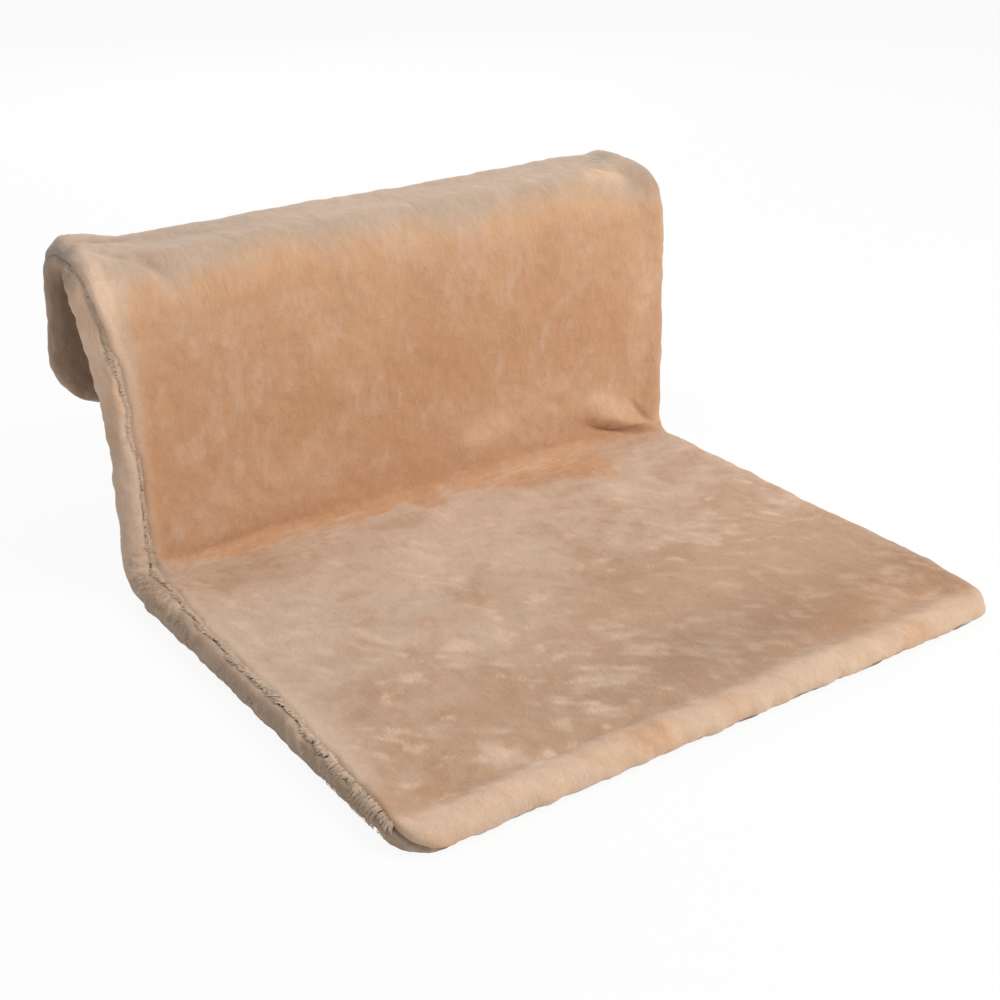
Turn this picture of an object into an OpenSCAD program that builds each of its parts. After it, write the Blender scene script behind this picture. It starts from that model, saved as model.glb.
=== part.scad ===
// Radiator bed: a bent tube frame with hooks, inside a zipped plush cover.
// X runs along the front edge, Y from the front edge to the flap behind the radiator, Z up.
// The origin is on the floor, at the middle of the bed's length and depth.

/* [Bed] */
// Length along the radiator, over the plush
overall_w = 460; // [360:5:520]
// Height from the floor to the top of the hooks
overall_h = 226; // [200:1:280]
// From the front edge to the foot of the backrest
seat_depth = 343; // [260:1:400]
// Backward lean of the backrest, degrees
back_lean = 2.3; // [0:0.1:6]

/* [Hooks] */
// Clear gap for the radiator, between the plush layers
hook_gap = 67; // [50:1:95]
// From the top of the hooks down to the lower edge of the flap
flap_drop = 128; // [105:1:140]
// Outward flare of the flap, degrees
flap_flare = 3; // [0:0.5:6]
// Bend radius of the hooks, at the tube's axis
hook_bend_r = 28; // [22:1:32]
// Bend radius of the flap's lower corners, at the tube's axis
flap_corner_r = 36; // [24:1:38]

/* [Frame] */
// Outer diameter of the frame tube
tube_d = 10; // [9.5:0.5:11]
// Wall of the frame tube
tube_wall = 1; // [0.8:0.1:1]
// Bend radius of the front corners and of the crease, at the tube's axis
seat_bend_r = 18; // [16:1:24]
// Distance of the cross tube from the foot of the backrest
bar_inset = 27; // [25:1:100]
// Outer diameter of the cross tube
bar_d = 8; // [7:0.5:8.5]
// Depth of the plug-in joint of the two frame halves
socket_depth = 40; // [30:1:44]
// Height of the plug-in joint's mouth above the rails, along the upright
socket_top = 112; // [106:1:116]

/* [Plush] */
// Thickness of the plush where it rolls over the tubes
plush_t = 3.4; // [3.2:0.1:5]
// Thickness of one plush layer between the tubes
web_t = 5.2; // [4.6:0.1:6]
// Flattening of the plush where the bed rests
floor_squash = 0.4; // [0.2:0.1:0.8]

/* [Zip] */
// Distance from the side of the bed to the end of the zip's coils
zip_margin = 39; // [36:1:100]
// Height of the zip above the rails, along the upright
zip_height = 50; // [46:1:54]
// Width of the slot that shows the zip
zip_slot_w = 12; // [11:0.5:13]

/* [Snap buttons] */
// Diameter of the button's pin
button_d = 3.6; // [3.2:0.1:3.8]
// How far the pin stands out of the tube
button_out = 1.5; // [1:0.1:1.8]
// Depth of the button below the socket's mouth
button_setback = 12; // [10:1:14]

/* [Hidden] */
$fn = 96;
// Overrun of a cutting tool past the face it cuts
cut = 1;
// A tube swells a little where it is bent
bend_swell = 0.05;
bend_lap = 0.2;
$swell = 0;

// Fits, each one on the radius or on one face
cover_gap = 0.3;
socket_gap = 0.05;
layer_gap = 0.3;
pin_gap = 0.07;
screw_gap = 0.1;
seat_gap = 0.05;
zip_gap = 0.1;

// Tube and plush, as seen across a tube
tube_r = tube_d / 2;
bore_r = tube_r - tube_wall;
void_r = tube_r + cover_gap;
roll_r = void_r + plush_t;
axis_x = overall_w / 2 - roll_r;
web_inner = layer_gap / 2;
web_outer = web_inner + web_t;

// Side profile: corners where the straight stretches of the tube's axis would meet
rail_z = roll_r - floor_squash;
arch_z = overall_h - roll_r;
bar_z = overall_h - flap_drop + roll_r;
foot_y = seat_depth + roll_r;
arch_y = foot_y + (arch_z - rail_z) * tan(back_lean);
drop_y = arch_y + hook_gap + 2 * roll_r;
rear_bar_y = drop_y + (arch_z - bar_z) * tan(flap_flare);
overall_depth = rear_bar_y + roll_r;
y_shift = -overall_depth / 2;

// Side profile: each stretch is [length or bend radius, turn], with a left turn positive
crease_turn = 90 - back_lean;
arch_turn = 90 - back_lean;
drop_turn = 90 - flap_flare;
crease_t = seat_bend_r * tan(crease_turn / 2);
arch_t = hook_bend_r * tan(arch_turn / 2);
drop_t = hook_bend_r * tan(drop_turn / 2);
upright_l = (arch_z - rail_z) / cos(back_lean) - crease_t - arch_t;
to_zip = zip_height - crease_t;
to_mouth = socket_top - crease_t;
below_zip = [
    [foot_y - crease_t - roll_r - seat_bend_r, 0],
    [seat_bend_r, crease_turn],
    [to_zip, 0]
];
below_mouth = concat(below_zip, [[to_mouth - to_zip, 0]]);
stretches = concat(below_mouth, [
    [upright_l - to_mouth, 0],
    [hook_bend_r, -arch_turn],
    [drop_y - arch_y - arch_t - drop_t, 0],
    [hook_bend_r, -drop_turn],
    [(arch_z - bar_z) / cos(flap_flare) - drop_t - flap_corner_r, 0]
]);
zip_at = len(below_zip);
mouth_at = len(below_mouth);
last = len(stretches) - 1;

// Puts its children where stretch i ends, if they are drawn where it starts.
// There, +Y runs along the profile and +Z points to the sleeping side
module go(i) {
    s = stretches[i];
    centre = [0, 0, sign(s[1]) * s[0]];
    if (s[1] == 0) translate([0, s[0], 0]) children();
    else translate(centre) rotate([s[1], 0, 0]) translate(-centre) children();
}

// Puts its children where stretch i starts, counted from the start of stretch k
module at_start(i, k = 0) {
    if (k == i) children();
    else go(k) at_start(i, k + 1) children();
}

// The profile starts where the left and right rails come out of the front corners
module at_front() {
    translate([0, roll_r + seat_bend_r + y_shift, rail_z]) children();
}

module at(i) {
    at_front() at_start(i) children();
}

// How far a straight stretch laps into its neighbour i: into a bend, or into the corners past both ends
function lap_into(i) = i >= 0 && i <= last && stretches[i][1] == 0 ? 0 : bend_lap;

// Runs a section along stretch i. The section's X is the bed's X, its Y points to the sleeping side.
// Bends are drawn fuller by $swell
module run(i) {
    s = stretches[i];
    side = sign(s[1]);
    $swell = side == 0 ? 0 : bend_swell;
    if (side == 0)
        translate([0, s[0] + lap_into(i + 1), 0]) rotate([90, 0, 0])
            linear_extrude(s[0] + lap_into(i - 1) + lap_into(i + 1)) children();
    else
        translate([0, 0, side * s[0]]) rotate([0, side * 90, 0])
            rotate_extrude(angle = abs(s[1])) translate([s[0], 0]) rotate(side * 90) children();
}

// Runs a section along the stretches from a to b
module run_all(a, b, k = 0) {
    if (k >= a) run(k) children();
    if (k < b) go(k) run_all(a, b, k + 1) children();
}

module along(a, b) {
    at_front() run_all(a, b) children();
}

module both_sides() {
    children();
    mirror([1, 0, 0]) children();
}

// A round bar on the side tubes' axes, over the stretches from a to b
module side_runs(a, b, r) {
    both_sides() along(a, b) translate([axis_x, 0]) circle(r + $swell);
}

// A section run round one end of the loop. The section's X points outward, from the bend's centre
module end_run(bend_r) {
    half_l = axis_x - bend_r;
    both_sides() translate([half_l, 0, 0]) rotate_extrude(angle = 90) let ($swell = bend_swell) children();
    translate([-half_l - bend_lap, 0, 0]) rotate([90, 0, 90]) linear_extrude(2 * (half_l + bend_lap)) children();
}

module front_end() {
    at_front() mirror([0, 1, 0]) children();
}

module flap_end() {
    at(last + 1) children();
}

// A round bar on the frame's axis, over the stretches from a to b and the end that they reach
module loop_part(a, b, r) {
    side_runs(a, b, r);
    if (a == 0) front_end() end_run(seat_bend_r) translate([seat_bend_r, 0]) circle(r + $swell);
    if (b == last) flap_end() end_run(flap_corner_r) translate([flap_corner_r, 0]) circle(r + $swell);
}

// Keeps one side of the middle surface: 1 is the sleeping side, -1 the other one
module one_side(side) {
    difference() {
        children();
        translate([-overall_w, side > 0 ? -overall_w : $swell - web_inner])
            square([2 * overall_w, overall_w + web_inner - $swell]);
    }
}

// One plush layer from rail to rail, with its rolls over the tubes
module panel_section(side) {
    one_side(side) {
        for (x = [-axis_x, axis_x]) translate([x, 0]) circle(roll_r + $swell);
        square([2 * axis_x, 2 * (web_outer + $swell)], center = true);
    }
}

module end_section(bend_r, side) {
    one_side(side) {
        translate([bend_r, 0]) circle(roll_r + $swell);
        translate([0, -web_outer - $swell]) square([bend_r, 2 * (web_outer + $swell)]);
    }
}

module panel(a, b, side) {
    along(a, b) panel_section(side);
    if (a == 0) front_end() end_run(seat_bend_r) end_section(seat_bend_r, side);
    if (b == last) flap_end() end_run(flap_corner_r) end_section(flap_corner_r, side);
}

// Cross tube, with its frame at its axis
bar_y = seat_depth - bar_inset + y_shift;
bar_r = bar_d / 2;
saddle_l = 8;
spigot_l = 14;
saddle_x = axis_x - tube_r - saddle_l;
screw_r = 2;
screw_head_r = 3.6;
screw_head_h = 1.8;
screw_l = 30;
hex_share = 0.7;
head_room = 0.4;

module across_bar(r, half_l) {
    translate([-half_l, bar_y, rail_z]) rotate([0, 90, 0]) cylinder(r = r, h = 2 * half_l);
}

// A drilling or a shank along X on the cross tube's axis, on the right-hand side
module bar_drill(r, x0, x1) {
    translate([x0, bar_y, rail_z]) rotate([0, 90, 0]) cylinder(r = r, h = x1 - x0);
}

// Snap button, with its frame where its axis crosses the upright's axis
button_r = button_d / 2;
button_tip = tube_r + button_out;
plug_r = bore_r - socket_gap;
plug_bore_r = plug_r - tube_wall;
chamfer = button_r / 3;
flange_lip = 0.4;
flange_r = button_r + flange_lip;
flange_t = 0.7;
flange_top = sqrt(plug_bore_r * plug_bore_r - flange_r * flange_r) - seat_gap;
leaf_t = 0.35;
leaf_w = 3;
leaf_l = 22;
leaf_end = 2.6;

// Puts its children at a button: +Z points out of the tube towards the radiator
module at_button(x) {
    translate([x, 0, 0]) at(mouth_at) translate([0, -button_setback, 0]) rotate([0, 180, 0]) children();
}

module button_drills(r) {
    both_sides() at_button(axis_x) cylinder(r = r, h = roll_r);
}

// Frame
module seat_frame() color("gainsboro") difference() {
    loop_part(0, zip_at, tube_r);
    loop_part(0, zip_at, bore_r);
    both_sides() bar_drill(screw_r + screw_gap, axis_x - tube_r - cut, axis_x + tube_r + cut);
    button_drills(button_r + pin_gap);
}

// The hook half's plug ends sit in the seat half's sockets
plug_l = socket_depth;
neck_l = 2;

// A round bar on an upright's axis, from y0 to y1 above the mouth of the socket
module on_upright(r, y0, y1) {
    both_sides() at(mouth_at) translate([axis_x, y0, 0]) rotate([-90, 0, 0]) cylinder(r = r, h = y1 - y0);
}

module hook_frame() color("gainsboro") difference() {
    union() {
        difference() {
            loop_part(mouth_at, last, tube_r);
            // The mouth of the socket takes the first bit of the full-size tube
            on_upright(tube_r + cut, -cut, seat_gap);
        }
        on_upright(plug_r, -plug_l, neck_l);
    }
    on_upright(plug_bore_r, -plug_l - cut, neck_l);
    difference() {
        loop_part(mouth_at, last, bore_r);
        on_upright(tube_r, -cut, neck_l);
    }
    button_drills(button_r + pin_gap);
}

module crease_bar() color("gainsboro") difference() {
    across_bar(bar_r, saddle_x - seat_gap);
    across_bar(bar_r - tube_wall, saddle_x + cut);
}

// Coped spacers between the cross tube's ends and the rails
module bar_saddles() color("dimgray") both_sides() difference() {
    bar_drill(bar_r, saddle_x, axis_x - tube_r / 2);
    bar_drill(screw_r + screw_gap, saddle_x - cut, axis_x);
    side_runs(0, 0, tube_r + seat_gap);
}

// Threaded inserts fixed in the cross tube's ends
module bar_inserts() color("silver") both_sides() difference() {
    bar_drill(bar_r - tube_wall - seat_gap, saddle_x - spigot_l, saddle_x - seat_gap);
    bar_drill(screw_r + seat_gap, saddle_x - spigot_l - cut, saddle_x + cut);
}

module bar_screws() color("silver") both_sides() {
    difference() {
        bar_drill(screw_head_r, axis_x + tube_r + seat_gap, axis_x + tube_r + seat_gap + screw_head_h);
        // Hexagon socket in the head
        translate([axis_x + tube_r + seat_gap + screw_head_h / 2, bar_y, rail_z]) rotate([0, 90, 0])
            cylinder(r = screw_r * hex_share, h = screw_head_h, $fn = 6);
    }
    bar_drill(screw_r, axis_x + tube_r + seat_gap - screw_l, axis_x + tube_r + seat_gap);
}

module snap_button(x) color("silver") at_button(x) {
    translate([0, 0, flange_top - flange_t]) cylinder(r = button_r, h = button_tip - chamfer - flange_top + flange_t);
    translate([0, 0, button_tip - chamfer]) cylinder(r1 = button_r, r2 = button_r - chamfer, h = chamfer);
    translate([0, 0, flange_top - flange_t]) cylinder(r = flange_r, h = flange_t);
}

// Folded leaf: one leg presses under the button, the other on the far wall of the tube
module snap_spring(x) color("darkgray") at_button(x) translate([-leaf_w / 2, 0, 0])
    rotate([90, 0, 90]) linear_extrude(leaf_w) {
        near = flange_top - flange_t - seat_gap;
        far = seat_gap - sqrt(plug_bore_r * plug_bore_r - leaf_w * leaf_w / 4);
        fold = (near + far) / 2;
        polygon([[leaf_end, near], [-leaf_end, near], [-leaf_l, fold + leaf_t], [-leaf_l, fold - leaf_t],
            [-leaf_end, far], [leaf_end, far], [leaf_end, far + leaf_t], [-leaf_end, far + leaf_t],
            [leaf_t - leaf_l, fold], [-leaf_end, near - leaf_t], [leaf_end, near - leaf_t]]);
    }

// Plush cover
module button_room() {
    both_sides() at_button(axis_x) cylinder(r = button_r + head_room, h = button_tip + head_room);
}

module screw_room() {
    both_sides() bar_drill(screw_head_r + head_room, axis_x, axis_x + tube_r + screw_head_h + 2 * head_room);
}

module frame_room(a, b) {
    loop_part(a, b, void_r);
    across_bar(bar_r + cover_gap, axis_x);
    screw_room();
    button_room();
}

// The plush rolls over the cross tube as it does over the others
module bar_roll(side) {
    translate([-axis_x, bar_y, rail_z]) rotate([90, 0, 90])
        linear_extrude(2 * axis_x) one_side(side) circle(bar_r + cover_gap + plush_t);
}

module cover_front() color("burlywood") difference() {
    union() {
        panel(0, last, 1);
        bar_roll(1);
    }
    frame_room(0, last);
}

module cover_underside() color("tan") difference() {
    union() {
        panel(0, zip_at - 1, -1);
        bar_roll(-1);
    }
    frame_room(0, zip_at);
    zip_room();
    translate([-overall_w, -overall_depth, -overall_h]) cube([2 * overall_w, 2 * overall_depth, overall_h]);
}

module cover_rear() color("tan") difference() {
    panel(zip_at, last, -1);
    frame_room(zip_at - 1, last);
    zip_room();
}

// Zip, with its frame in the middle of the slot: +Y up the backrest, +Z towards the radiator
tape_t = 0.7;
tape_w = 12;
tape_tail = 9;
zip_l = overall_w - 2 * zip_margin;
tape_l = zip_l + 2 * tape_tail;
slot_end = 2;
slot_l = tape_l + 2 * slot_end;
tape_in = 2;
// The tapes and the coils stand apart by these gaps, so that the slider's post passes
tape_split = 1.8;
coil_split = 1.2;
tape_y = tape_split / 2;
coil_r = 0.9;
coil_y = coil_r + coil_split / 2;
post_w = 1;
coil_z = tape_in + tape_t + seat_gap + coil_r;
stop_l = 3;
slider_l = 10;
slider_rest = 2;
slider_w = 8.4;
plate_t = 0.9;
post_l = 3;
cheek_w = 0.9;
under_z = tape_in - zip_gap - plate_t;
over_z = coil_z + coil_r + zip_gap;
bridge_l = 6;
bridge_w = 4;
bridge_h = 2.4;
bridge_bar = 0.9;
pull_pin_r = 0.65;
pull_w = 6.8;
pull_t = 1.1;
pull_l = 18;
pull_root = 4;
pull_arm = 0.8;
slider_x = slider_rest + slider_l / 2 - zip_l / 2;
pull_z = over_z + plate_t + zip_gap + pull_pin_r;

module at_zip() {
    at(zip_at) mirror([0, 0, 1]) children();
}

// A block given by its lowest and highest corners
module block(lo, hi) {
    translate(lo) cube(hi - lo);
}

module zip_room() at_zip() {
    block([-slot_l / 2, -zip_slot_w / 2, -web_outer], [slot_l / 2, zip_slot_w / 2, roll_r + cut]);
    block([-tape_l / 2 - zip_gap, -tape_y - tape_w - zip_gap, tape_in - zip_gap],
        [tape_l / 2 + zip_gap, tape_y + tape_w + zip_gap, tape_in + tape_t + zip_gap]);
    block([-axis_x - roll_r - cut, -web_inner, -web_outer], [axis_x + roll_r + cut, web_inner, roll_r + cut]);
}

module zip_tape(side) color("peru") at_zip() mirror([0, side > 0 ? 0 : 1, 0])
    block([-tape_l / 2, tape_y, tape_in], [tape_l / 2, tape_y + tape_w, tape_in + tape_t]);

module zip_coil(side) color("sienna") at_zip() mirror([0, side > 0 ? 0 : 1, 0])
    translate([-zip_l / 2, coil_y, coil_z]) rotate([0, 90, 0]) cylinder(r = coil_r, h = zip_l);

module zip_tape_upper() zip_tape(1);
module zip_tape_lower() zip_tape(-1);
module zip_coil_upper() zip_coil(1);
module zip_coil_lower() zip_coil(-1);

module zip_stops() color("goldenrod") at_zip() both_sides()
    block([zip_l / 2 + zip_gap, -coil_y - coil_r, tape_in + tape_t + seat_gap],
        [zip_l / 2 + zip_gap + stop_l, coil_y + coil_r, over_z]);

module zip_slider() color("goldenrod") at_zip() translate([slider_x, 0, 0]) {
    block([-slider_l / 2, -slider_w / 2, under_z], [slider_l / 2, slider_w / 2, under_z + plate_t]);
    block([-slider_l / 2, -slider_w / 2, over_z], [slider_l / 2, slider_w / 2, over_z + plate_t]);
    block([slider_l / 2 - post_l, -post_w / 2, under_z], [slider_l / 2, post_w / 2, over_z + plate_t]);
    for (side = [-1, 1]) translate([0, side * (slider_w - cheek_w) / 2, 0])
        block([-slider_l / 2, -cheek_w / 2, tape_in + tape_t + 2 * zip_gap], [slider_l / 2, cheek_w / 2, over_z]);
    // Bridge that holds the pull's pin
    difference() {
        block([-bridge_l / 2, -bridge_w / 2, over_z], [bridge_l / 2, bridge_w / 2, over_z + plate_t + bridge_h]);
        block([-bridge_l / 2 + bridge_bar, -bridge_w / 2 - cut, over_z + plate_t],
            [bridge_l / 2 - bridge_bar, bridge_w / 2 + cut, over_z + plate_t + bridge_h - bridge_bar]);
    }
}

module zip_pull() color("goldenrod") at_zip() translate([slider_x, 0, pull_z]) {
    arm_y = pull_w / 2 - pull_arm;
    rotate([90, 0, 0]) cylinder(r = pull_pin_r, h = pull_w, center = true);
    for (side = [-1, 1]) translate([0, side * (arm_y + pull_arm / 2), 0])
        block([0, -pull_arm / 2, -pull_pin_r], [pull_l / 2, pull_arm / 2, pull_pin_r]);
    difference() {
        union() {
            block([pull_root, -pull_w / 2, -pull_pin_r],
                [pull_l - pull_w / 2, pull_w / 2, pull_t - pull_pin_r]);
            translate([pull_l - pull_w / 2, 0, -pull_pin_r]) cylinder(r = pull_w / 2, h = pull_t);
        }
        translate([pull_l - pull_w / 2, 0, -pull_pin_r - cut]) cylinder(r = pull_w / 4, h = pull_t + 2 * cut);
    }
}

seat_frame();
hook_frame();
crease_bar();
bar_saddles();
bar_inserts();
bar_screws();
snap_button(-axis_x);  // snap_button_left
snap_button(axis_x);  // snap_button_right
snap_spring(-axis_x);  // snap_spring_left
snap_spring(axis_x);  // snap_spring_right
cover_front();
cover_underside();
cover_rear();
zip_tape_upper();
zip_tape_lower();
zip_coil_upper();
zip_coil_lower();
zip_stops();
zip_slider();
zip_pull();
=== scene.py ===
"""Cat radiator bed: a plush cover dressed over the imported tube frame.

Lengths are in metres. The cover is laid out flat first: x runs along the bed, s along the side profile, from the
axis of the front bar to the axis of the flap's lower bar, and h stands off the middle surface of the cover,
towards the sleeping side. The layout is then wrapped along the side profile.
"""

import itertools
import math

import bmesh
import bpy
import numpy as np
from mathutils import Matrix, Vector


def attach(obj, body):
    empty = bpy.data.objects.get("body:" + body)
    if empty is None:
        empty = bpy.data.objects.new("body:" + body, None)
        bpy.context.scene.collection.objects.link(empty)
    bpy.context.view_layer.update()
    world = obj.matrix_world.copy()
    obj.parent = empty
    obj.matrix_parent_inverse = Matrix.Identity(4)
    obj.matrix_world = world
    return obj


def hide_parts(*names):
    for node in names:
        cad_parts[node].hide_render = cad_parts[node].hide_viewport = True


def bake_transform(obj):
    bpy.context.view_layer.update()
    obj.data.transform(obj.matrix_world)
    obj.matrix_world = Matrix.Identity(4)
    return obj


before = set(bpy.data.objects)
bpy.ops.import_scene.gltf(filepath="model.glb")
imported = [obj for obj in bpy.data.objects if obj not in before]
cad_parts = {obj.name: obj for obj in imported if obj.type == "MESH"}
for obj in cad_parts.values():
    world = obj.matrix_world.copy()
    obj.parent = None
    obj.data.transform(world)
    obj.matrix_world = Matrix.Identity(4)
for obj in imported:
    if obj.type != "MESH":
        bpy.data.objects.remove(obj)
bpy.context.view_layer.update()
BODY = "frame_and_cover"

# ---- Sizes of the bed, the same as the CAD's

WIDTH, HEIGHT, SEAT_DEPTH = 0.460, 0.226, 0.343
LEAN, FLARE = math.radians(2.3), math.radians(3)
HOOK_GAP, FLAP_DROP = 0.067, 0.128
HOOK_R, FLAP_R, SEAT_R = 0.028, 0.036, 0.018   # bends, at the tube's axis
ROLL = 0.0087                                  # plush rolled over a tube, from the tube's axis
TUBE_ROOM = 0.0053                             # radius of the room for the tube in a roll
SQUASH = 0.0004                                # how far the floor presses the rolls under the seat flat
BAR_INSET, BAR_ROOM = 0.027, 0.0043            # cross tube: axis in front of the backrest, radius of its room
ZIP_UP, ZIP_HALF, ZIP_END = 0.050, 0.006, 0.202   # zip: height, half the width and half the length of its slot
LAYER_GAP = 0.00015                            # from each layer's inner face to the cover's middle surface

AXIS_X = WIDTH / 2 - ROLL
RAIL_Z, ARCH_Z, BAR_Z = ROLL - SQUASH, HEIGHT - ROLL, HEIGHT - FLAP_DROP + ROLL
FOOT_Y = SEAT_DEPTH + ROLL
ARCH_Y = FOOT_Y + (ARCH_Z - RAIL_Z) * math.tan(LEAN)
DROP_Y = ARCH_Y + HOOK_GAP + 2 * ROLL
DEPTH = DROP_Y + (ARCH_Z - BAR_Z) * math.tan(FLARE) + ROLL
START_Y = ROLL - DEPTH / 2

CREASE_TURN, DROP_TURN = math.pi / 2 - LEAN, math.pi / 2 - FLARE
CREASE_T = SEAT_R * math.tan(CREASE_TURN / 2)
ARCH_T, DROP_T = HOOK_R * math.tan(CREASE_TURN / 2), HOOK_R * math.tan(DROP_TURN / 2)
# Each stretch of the side profile is (length or bend radius, turn)
STRETCHES = [
    (FOOT_Y - CREASE_T - ROLL, 0),
    (SEAT_R, CREASE_TURN),
    ((ARCH_Z - RAIL_Z) / math.cos(LEAN) - CREASE_T - ARCH_T, 0),
    (HOOK_R, -CREASE_TURN),
    (DROP_Y - ARCH_Y - ARCH_T - DROP_T, 0),
    (HOOK_R, -DROP_TURN),
    ((ARCH_Z - BAR_Z) / math.cos(FLARE) - DROP_T, 0),
]
LENGTHS = [size * abs(turn) if turn else size for size, turn in STRETCHES]
STARTS = np.concatenate([[0], np.cumsum(LENGTHS)])
S_END = STARTS[-1]
S_CREASE = (STARTS[1] + STARTS[2]) / 2
S_BACK, S_ARCH, S_TOP, S_DROP, S_LEG = STARTS[2:7]
S_ZIP = S_BACK + ZIP_UP - CREASE_T
S_BAR = SEAT_DEPTH - BAR_INSET - ROLL


def wrap(x, s, h):
    """The layout's points in the bed's own frame."""
    y, z, a = (np.zeros_like(s) for _ in range(3))
    y0, z0, a0 = START_Y, RAIL_Z, 0.0
    for i, ((size, turn), s0) in enumerate(zip(STRETCHES, STARTS)):
        here = s >= s0 if i else np.ones_like(s, bool)
        along = s[here] - s0
        if turn:
            side = math.copysign(1, turn)
            cy, cz = y0 - side * size * math.sin(a0), z0 + side * size * math.cos(a0)
            a[here] = a0 + side * along / size
            y[here], z[here] = cy + side * size * np.sin(a[here]), cz - side * size * np.cos(a[here])
            a0 += turn
            y0, z0 = cy + side * size * math.sin(a0), cz - side * size * math.cos(a0)
        else:
            a[here] = a0
            y[here], z[here] = y0 + along * math.cos(a0), z0 + along * math.sin(a0)
            y0, z0 = y0 + size * math.cos(a0), z0 + size * math.sin(a0)
    return np.stack([x, y - h * np.sin(a), z + h * np.cos(a)], -1)


# ---- Smooth noise and soft steps

NOISE_CELLS = 32      # the noise repeats after so many units
LAYERED_GAIN = 1.6    # brings layered noise back to about -1 to 1


def noise(points, seed):
    """Smooth noise from -1 to 1, with features about one unit wide."""
    table = np.random.default_rng(seed).uniform(-1, 1, (NOISE_CELLS,) * 3)
    base = np.floor(points).astype(int)
    f = points - base
    f = f ** 3 * (f * (f * 6 - 15) + 10)
    total = np.zeros(points.shape[:-1])
    for corner in itertools.product((0, 1), repeat=3):
        weight = np.prod(np.where(corner, f, 1 - f), -1)
        i, j, k = np.moveaxis((base + corner) % NOISE_CELLS, -1, 0)
        total += weight * table[i, j, k]
    return total


def layered(points, size, seed, layers=3):
    """Noise with finer layers added, each half as wide and half as strong."""
    total, strength = np.zeros(points.shape[:-1]), 0
    for n in range(layers):
        total += noise(points * (2 ** n / size), seed + n) / 2 ** n
        strength += 1 / 2 ** n
    return total / strength * LAYERED_GAIN


def step(v, lo, hi):
    """Rises smoothly from 0 at lo to 1 at hi."""
    t = np.clip((v - lo) / (hi - lo), 0, 1)
    return t * t * (3 - 2 * t)


def hill(v, centre, width):
    """One at the centre, falling smoothly to both sides."""
    return np.exp(-((v - centre) / width) ** 2)


def fold(x, s, at, length, width, angle, height):
    """A ridge, or with a negative height a valley, of the plush."""
    dx, ds = x - at[0], s - at[1]
    c, n = math.cos(math.radians(angle)), math.sin(math.radians(angle))
    along, across = dx * c + ds * n, ds * c - dx * n
    return height * np.exp(-(along / length) ** 4 - np.abs(across / width) ** 1.6)


# ---- The layout's grid and rim

STEP = 0.00218


def lines(*keys):
    """Grid lines about STEP apart that include the given ones, with an even count of spaces between these."""
    parts = [np.linspace(a, b, 2 * max(1, round((b - a) / STEP / 2)), endpoint=False) for a, b in zip(keys, keys[1:])]
    return np.concatenate(parts + [[keys[-1]]])


COLS = lines(-AXIS_X, -ZIP_END, ZIP_END, AXIS_X)
ROWS = lines(0, S_ZIP - ZIP_HALF, S_ZIP + ZIP_HALF, S_END)


def border_of(rows, cols):
    """The row and column of each point on a grid's border, once round."""
    return np.array([(0, j) for j in range(cols - 1)] + [(i, cols - 1) for i in range(rows - 1)]
                    + [(rows - 1, j) for j in range(cols - 1, 0, -1)] + [(i, 0) for i in range(rows - 1, 0, -1)])


def tube_axis(x, s):
    """Where a point on the rim of the layout's rectangle lies on the tube's axis, and which way is outward."""
    front = s < S_END / 2
    r = np.where(front, SEAT_R, FLAP_R)
    side, end = np.sign(x), np.where(front, -1.0, 1.0)
    to_end = np.where(front, s, S_END - s)
    cx, cs = AXIS_X - r, np.where(front, r, S_END - r)
    corner = (np.abs(x) > cx) & (to_end < r)
    on_end = to_end < 1e-9
    turn = np.where(on_end, 1 + (AXIS_X - np.abs(x)) / r, 1 - to_end / r) * math.pi / 4
    dx = np.where(corner, side * np.cos(turn), np.where(on_end, 0, side))
    ds = np.where(corner, end * np.sin(turn), np.where(on_end, end, 0))
    return (np.stack([np.where(corner, side * cx + r * dx, x), np.where(corner, cs + r * ds, s)], -1),
            np.stack([dx, ds], -1))


BORDER = border_of(len(ROWS), len(COLS))
RIM, OUT = tube_axis(COLS[BORDER[:, 1]], ROWS[BORDER[:, 0]])
RIM_RUN = np.concatenate([[0], np.cumsum(np.linalg.norm(np.diff(RIM, axis=0), axis=1))])


def spread(inward, every=1):
    """A grid over the layout, whose rim lies that far inward from the tube's axis."""
    rows, cols, border = ROWS[::every], COLS[::every], BORDER[::every] // every
    grid = np.full((len(rows), len(cols), 2), np.nan)
    grid[border[:, 0], border[:, 1]] = (RIM - OUT * np.broadcast_to(inward, len(RIM))[:, None])[::every]
    u = ((cols - cols[0]) / (cols[-1] - cols[0]))[None, :, None]
    v = ((rows - rows[0]) / (rows[-1] - rows[0]))[:, None, None]
    made = (1 - v) * grid[:1] + v * grid[-1:] + (1 - u) * grid[:, :1] + u * grid[:, -1:]
    made -= ((1 - u) * (1 - v) * grid[0, 0] + u * (1 - v) * grid[0, -1]
             + (1 - u) * v * grid[-1, 0] + u * v * grid[-1, -1])
    return made


def from_rim(x, s):
    """Distance inward from the tube's axis."""
    r = np.where(s < S_END / 2, SEAT_R, FLAP_R)
    qx, qs = np.abs(x) - AXIS_X + r, np.abs(s - S_END / 2) - S_END / 2 + r
    return r - np.hypot(np.maximum(qx, 0), np.maximum(qs, 0)) - np.minimum(np.maximum(qx, qs), 0)


# ---- The inner layer bridges the inner corner of the hooks, most at the left end

BRIDGE_FROM, BRIDGE_TO, BRIDGE_SMOOTH = S_ARCH - 0.066, S_DROP + 0.004, 14
# Share of the way to the straight line: everywhere, and added at the left and the right end
BRIDGE_SHARE, BRIDGE_LEFT, BRIDGE_RIGHT = 0.22, 0.70, 0.20


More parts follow.
